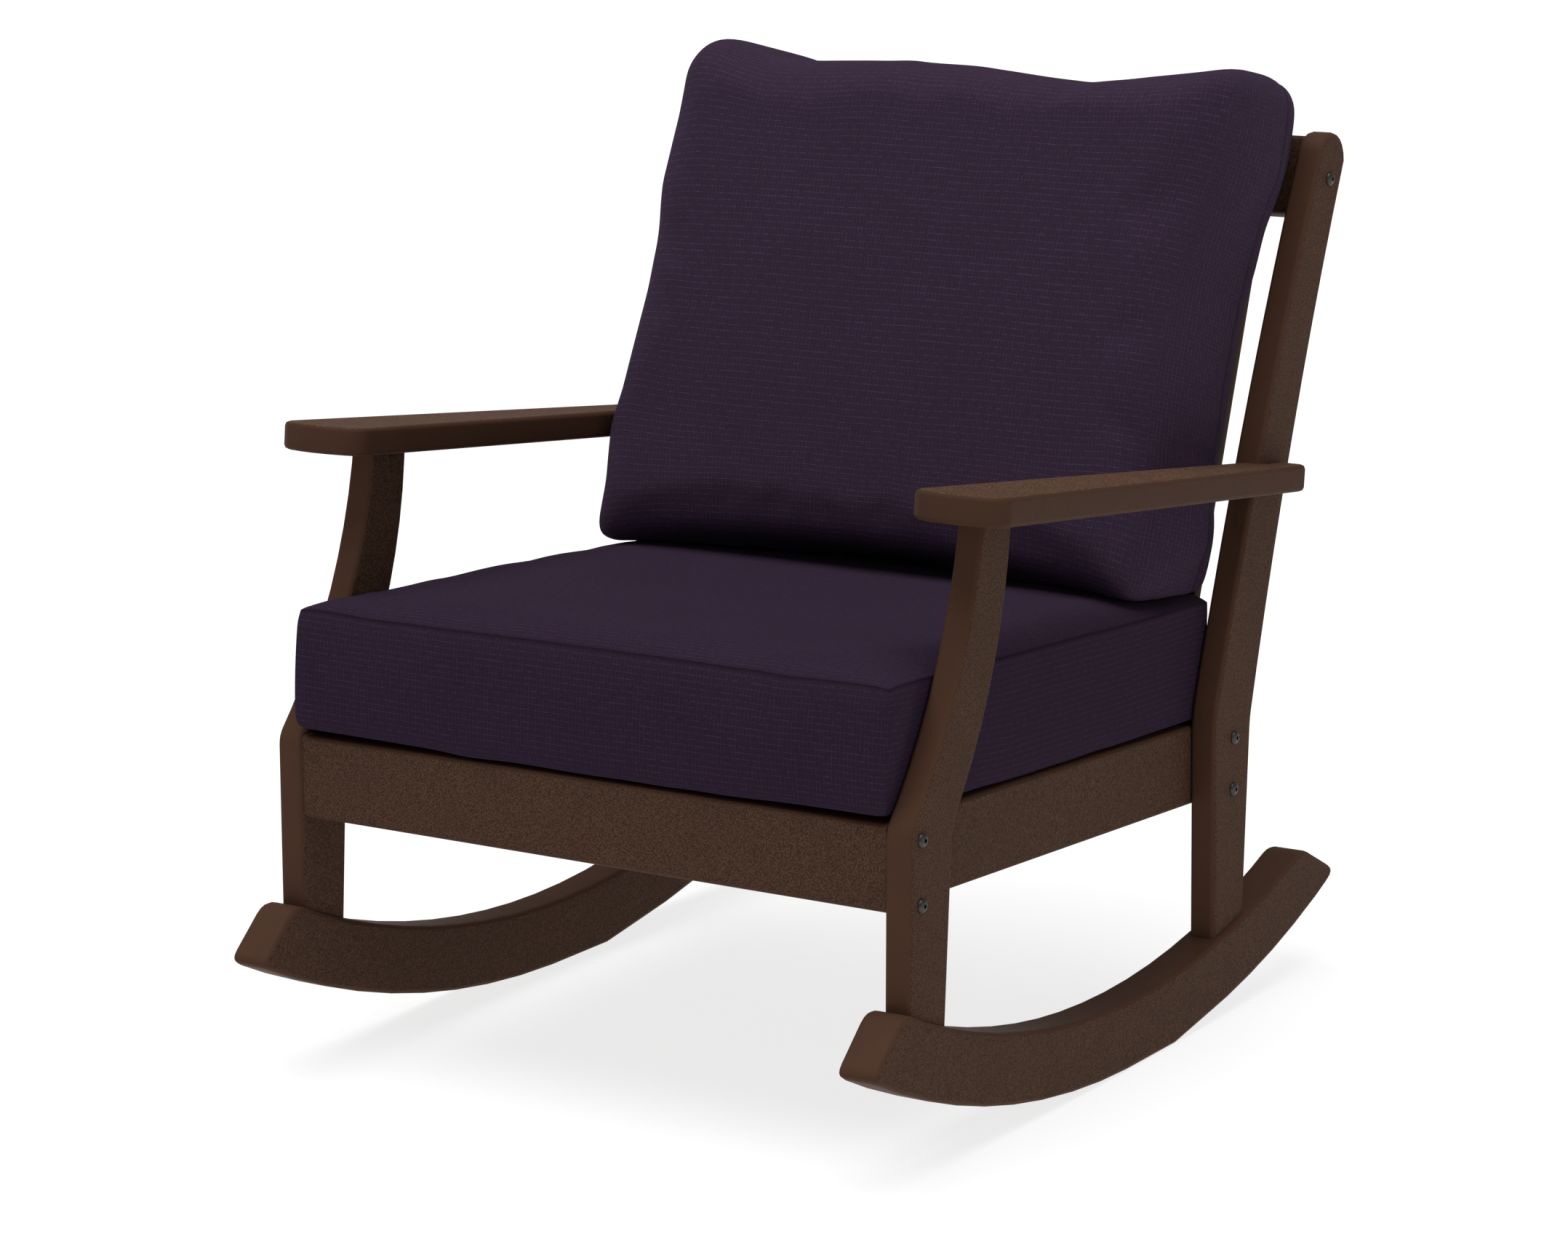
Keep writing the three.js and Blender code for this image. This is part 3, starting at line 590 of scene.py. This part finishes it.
def back_points(p):
    """The cover of the back cushion before it is stuffed, from the points of a plain box."""
    unit = (p - BACK_LOW) / (BACK_HIGH - BACK_LOW) * 2 - 1
    # tighter at its bottom corners and at the upper one on the sitter's left
    low = np.clip(-unit[:, 1], 0, 1)
    tight = np.clip(unit[:, 1], 0, 1) * np.clip(unit[:, 0], 0, 1)
    depth = np.where(unit[:, 2] > 0, FRONT_ROUND, REAR_ROUND)
    depth += (0.022 * tight - 0.028 * low) * (unit[:, 2] > 0)
    corner_x = CORNER - 0.02 * low - 0.018 * tight
    corner_y = CORNER - 0.026 * low - 0.017 * tight
    q = rounded(p, BACK_LOW, BACK_HIGH, np.stack([corner_x, corner_y, depth], 1))
    # the sides, narrower at the rear
    height = q[:, 1]
    right, left = np.interp(height, *RIGHT_WIDTH.T), np.interp(height, *LEFT_WIDTH.T)
    width = np.where(q[:, 0] < 0, right, left)
    rear = np.clip((0.06 - q[:, 2]) / 0.06, 0, 1)
    q[:, 0] *= (width - 0.012 * rear) / BACK_HIGH[0]
    # the top edge, where the corner on the sitter's left is fuller behind
    across = q[:, 0]
    rise = np.clip((height - 0.43) / 0.19, 0, 1) ** 2
    ear = np.clip((across - 0.2) / 0.09, 0, 1) * np.clip((0.17 - q[:, 2]) / 0.09, 0, 1)
    lift = rise * np.interp(across, *TOP_RISE.T)
    q[:, 1] += lift
    q[:, 1] += rise * ear * 0.014
    # the bottom edge is raised in the middle, and droops at its ends
    fall = np.clip((0.25 - height) / 0.12, 0, 1)
    bottom = 0.014 * (1 - unit[:, 0] ** 2) - 0.006 * unit[:, 0] ** 6
    q[:, 1] += fall * bottom * (unit[:, 1] < 0.2)
    # the front is crowned, and dimpled a little
    front = np.clip((q[:, 2] - 0.1) / 0.085, 0, 1)
    q[:, 2] += front * 0.006 * (1 - unit[:, 0] ** 2) * (1 - unit[:, 1] ** 2)
    q[:, 2] += front * 0.0045 * ripple(p, 5.5, 2)
    return q


back, flat = pad_mesh(
    "back_pad_cover",
    spaced(BACK_LOW[0], BACK_HIGH[0]),
    spaced(BACK_LOW[1], BACK_HIGH[1]),
    spaced(BACK_LOW[2], BACK_HIGH[2], (BACK_SEAM - 0.004, BACK_SEAM, BACK_SEAM + 0.004)),
)
local = back_points(flat)
back_seam = on_rim(flat, BACK_LOW, BACK_HIGH, BACK_SEAM)
# the seam gathers the cover, so it puckers on both sides of the seam
around = np.exp(-(((flat[:, 2] - BACK_SEAM) / 0.02) ** 2))
around *= (local[:, 2] > 0.02) * (local[:, 2] < 0.175)
drawn = flat * (1, 1, 0.3)
gather = around * (0.0016 * ripple(drawn, 42, 7) + 0.0012 * ripple(drawn, 90, 8))
away = outward(local, BACK_MIDDLE, 0.1)
local += away * gather[:, None]
store(back, local)
local = stuff(back, local, back_seam, 3.0, 0.009)
local -= away * (back_seam * BACK_SEAM_GROOVE)[:, None]
local[:, 2] = np.clip(local[:, 2], OFF_WOOD, BACK_FRONT_STOP)
# the back legs stand beside its rear, and the armrests beside its middle
post = LEG_INSIDE + 0.7 * np.clip(local[:, 2] - BACK_LEG_FRONT, 0, 1)
placed = back_plane.out(local)
from_front = placed[:, 1] - ORIGIN_Y - ARM_FRONT_Y
arm_middle = ARM_TOP - ARM_DROP * from_front - BOARD_HALF
off_arm = np.abs(placed[:, 2] - arm_middle) - BOARD_HALF - OFF_ARM
arm = ARM_INSIDE + ARM_SPREAD * from_front - OFF_ARM + 0.8 * np.clip(off_arm, 0, 1)
limit = np.minimum(post, arm)
placed[:, 0] = np.clip(placed[:, 0], -limit, limit)
# it stands on the seat cushion
over_seat = seat_plane.into(placed)
floor_here = seat_top(over_seat[:, 0], over_seat[:, 1]) + 0.0014
over_seat[:, 2] = np.maximum(over_seat[:, 2], floor_here)
store(back, seat_plane.out(over_seat))
# the back cushion's seam gets half as much painted shade
attribute(back, "seam", back_seam * 0.5)

# both cushions are one cloth; the seat's copy is given a darker colour than the back's, which is
# painted shade on the seat under the light from above
seat_cloth = cloth("cloth_seat", 0.0055, (0.0293, 0.0172, 0.0338))
back_cloth = cloth("cloth_back", 0.0064, (0.0425, 0.0258, 0.0488))
finish_pad(seat, "seat_pad", "seat_cushion", seat_cloth)
finish_pad(back, "back_pad", "back_cushion", back_cloth)

# ---- Floor ----

REACH = 90
BELOW = 0.0005  # so that it doesn't touch the rockers
g = Graph("floor")
tint = g.noise(g.node("TexCoord").outputs["Object"], 1.5, 2.0)
floor_material = g.finish(
    Base_Color=g.mix(tint, tone((0.256, 0.256, 0.256)), tone((0.266, 0.266, 0.266))),
    Roughness=0.9,
    Specular_IOR_Level=0.0,
    Emission_Color=tone((1, 1, 1)),
    Emission_Strength=0.785,
)
floor_mesh = bpy.data.meshes.new("floor")
floor_corners = [(-REACH, -REACH, 0), (REACH, -REACH, 0), (REACH, REACH, 0), (-REACH, REACH, 0)]
floor_mesh.from_pydata(floor_corners, [], [(0, 1, 2, 3)])
floor_mesh.materials.append(floor_material)
floor = bpy.data.objects.new("floor", floor_mesh)
floor.location.z = -BELOW
scene.collection.objects.link(floor)
